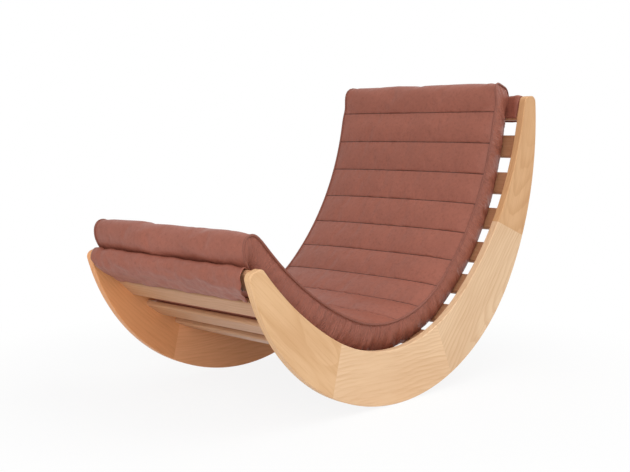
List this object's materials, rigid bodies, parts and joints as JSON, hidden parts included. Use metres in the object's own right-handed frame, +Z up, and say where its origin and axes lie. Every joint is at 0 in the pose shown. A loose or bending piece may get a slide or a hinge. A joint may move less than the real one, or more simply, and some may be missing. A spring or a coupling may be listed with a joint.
{
  "type": "rocking chaise lounge",
  "caption": "Low rocking chaise: two crescent wooden sides joined by slats, with a channelled leather pad held by pockets on the end slats.",
  "frame": {"origin": "on the floor, midway between the two sides, at the point where the rockers touch it as pictured", "axes": "+X from the foot end to the head end, +Y to the sitter's left side, +Z up"},
  "size_m": [1.1774, 0.67, 0.8703],
  "materials": {
    "side_wood": "satin",
    "slat_wood": "satin",
    "joinery_wood": "matte",
    "cover_leather": "satin",
    "piping_leather": "satin",
    "pocket_leather": "satin",
    "counterweight_steel": "satin",
    "foam": "matte"
  },
  "bodies": {
    "root": {"left_foot_board": "side_wood", "left_base_board": "side_wood", "left_back_board": "side_wood", "left_head_board": "side_wood", "left_board_splines": "joinery_wood", "left_slat_tenons": "joinery_wood", "left_piping": "piping_leather", "right_foot_board": "side_wood", "right_base_board": "side_wood", "right_back_board": "side_wood", "right_head_board": "side_wood", "right_board_splines": "joinery_wood", "right_slat_tenons": "joinery_wood", "right_piping": "piping_leather", "slat_01": "slat_wood", "slat_02": "slat_wood", "slat_03": "slat_wood", "slat_04": "slat_wood", "slat_05": "slat_wood", "slat_06": "slat_wood", "slat_07": "slat_wood", "slat_08": "slat_wood", "slat_09": "slat_wood", "slat_10": "slat_wood", "slat_11": "slat_wood", "slat_12": "slat_wood", "slat_13": "slat_wood", "slat_14": "slat_wood", "pad_cover": "cover_leather", "foam_core": "foam", "foot_counterweight": "counterweight_steel", "foot_pocket": "pocket_leather", "head_pocket": "pocket_leather"}
  },
  "joints": []
}
